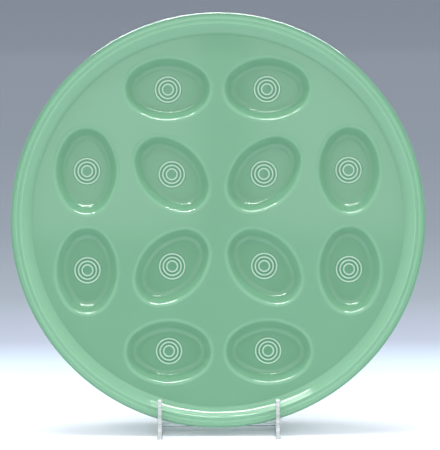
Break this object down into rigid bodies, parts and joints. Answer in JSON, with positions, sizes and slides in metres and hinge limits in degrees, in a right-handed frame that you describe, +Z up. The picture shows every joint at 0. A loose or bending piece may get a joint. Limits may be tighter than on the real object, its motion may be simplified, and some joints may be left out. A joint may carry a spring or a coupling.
{
  "type": "deviled egg platter on a display stand",
  "caption": "Round glazed platter with oval ringed wells for halved eggs, leaning on a clear display stand with two side plates and cross rods.",
  "frame": {"origin": "on the table, at the middle of the display stand's footprint", "axes": "+X to the platter's right as seen from the front, +Y backwards, +Z up; the platter faces -Y and leans back by 10 degrees"},
  "size_m": [0.304, 0.112, 0.3055],
  "materials": {
    "celadon_glaze": "gloss",
    "clear_acrylic": "gloss"
  },
  "bodies": {
    "stand": {"left_side_plate": "clear_acrylic", "right_side_plate": "clear_acrylic", "front_cross_rod": "clear_acrylic", "rear_cross_rod": "clear_acrylic", "upper_cross_rod": "clear_acrylic"},
    "platter": {"platter": "celadon_glaze"}
  },
  "joints": [
    {"name": "platter_lift", "type": "slide", "parent": "stand", "child": "platter", "axis": [0, 0.1736, 0.9848], "range_m": [0, 0.25]}
  ]
}
